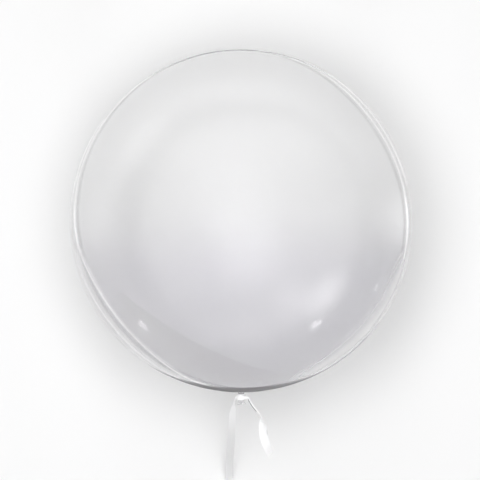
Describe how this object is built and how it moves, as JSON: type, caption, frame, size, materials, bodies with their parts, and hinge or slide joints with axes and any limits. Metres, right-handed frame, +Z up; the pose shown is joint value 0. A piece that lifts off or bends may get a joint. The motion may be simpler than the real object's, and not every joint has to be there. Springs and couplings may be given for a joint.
{
  "type": "clear balloon",
  "caption": "Clear round bubble balloon lying on its side, its neck tied with a flat white ribbon that has a short twisted tail and a long tail wound into a coil.",
  "frame": {"origin": "on the floor, under the middle of the balloon and its tied neck", "axes": "+Z up from the flat spot the balloon lies on; -Y along the balloon's neck, towards the ribbon"},
  "size_m": [0.4492, 0.7442, 0.4482],
  "materials": {
    "clear_film": "clear, glossy stretch film with a faint grey haze",
    "white_ribbon": "white satin ribbon with a soft sheen"
  },
  "bodies": {
    "root": {"balloon": "clear_film", "ribbon_knot": "white_ribbon", "ribbon_long_tail": "white_ribbon", "ribbon_short_tail": "white_ribbon", "ribbon_coil": "white_ribbon", "ribbon_coil_tie": "white_ribbon"}
  },
  "joints": []
}
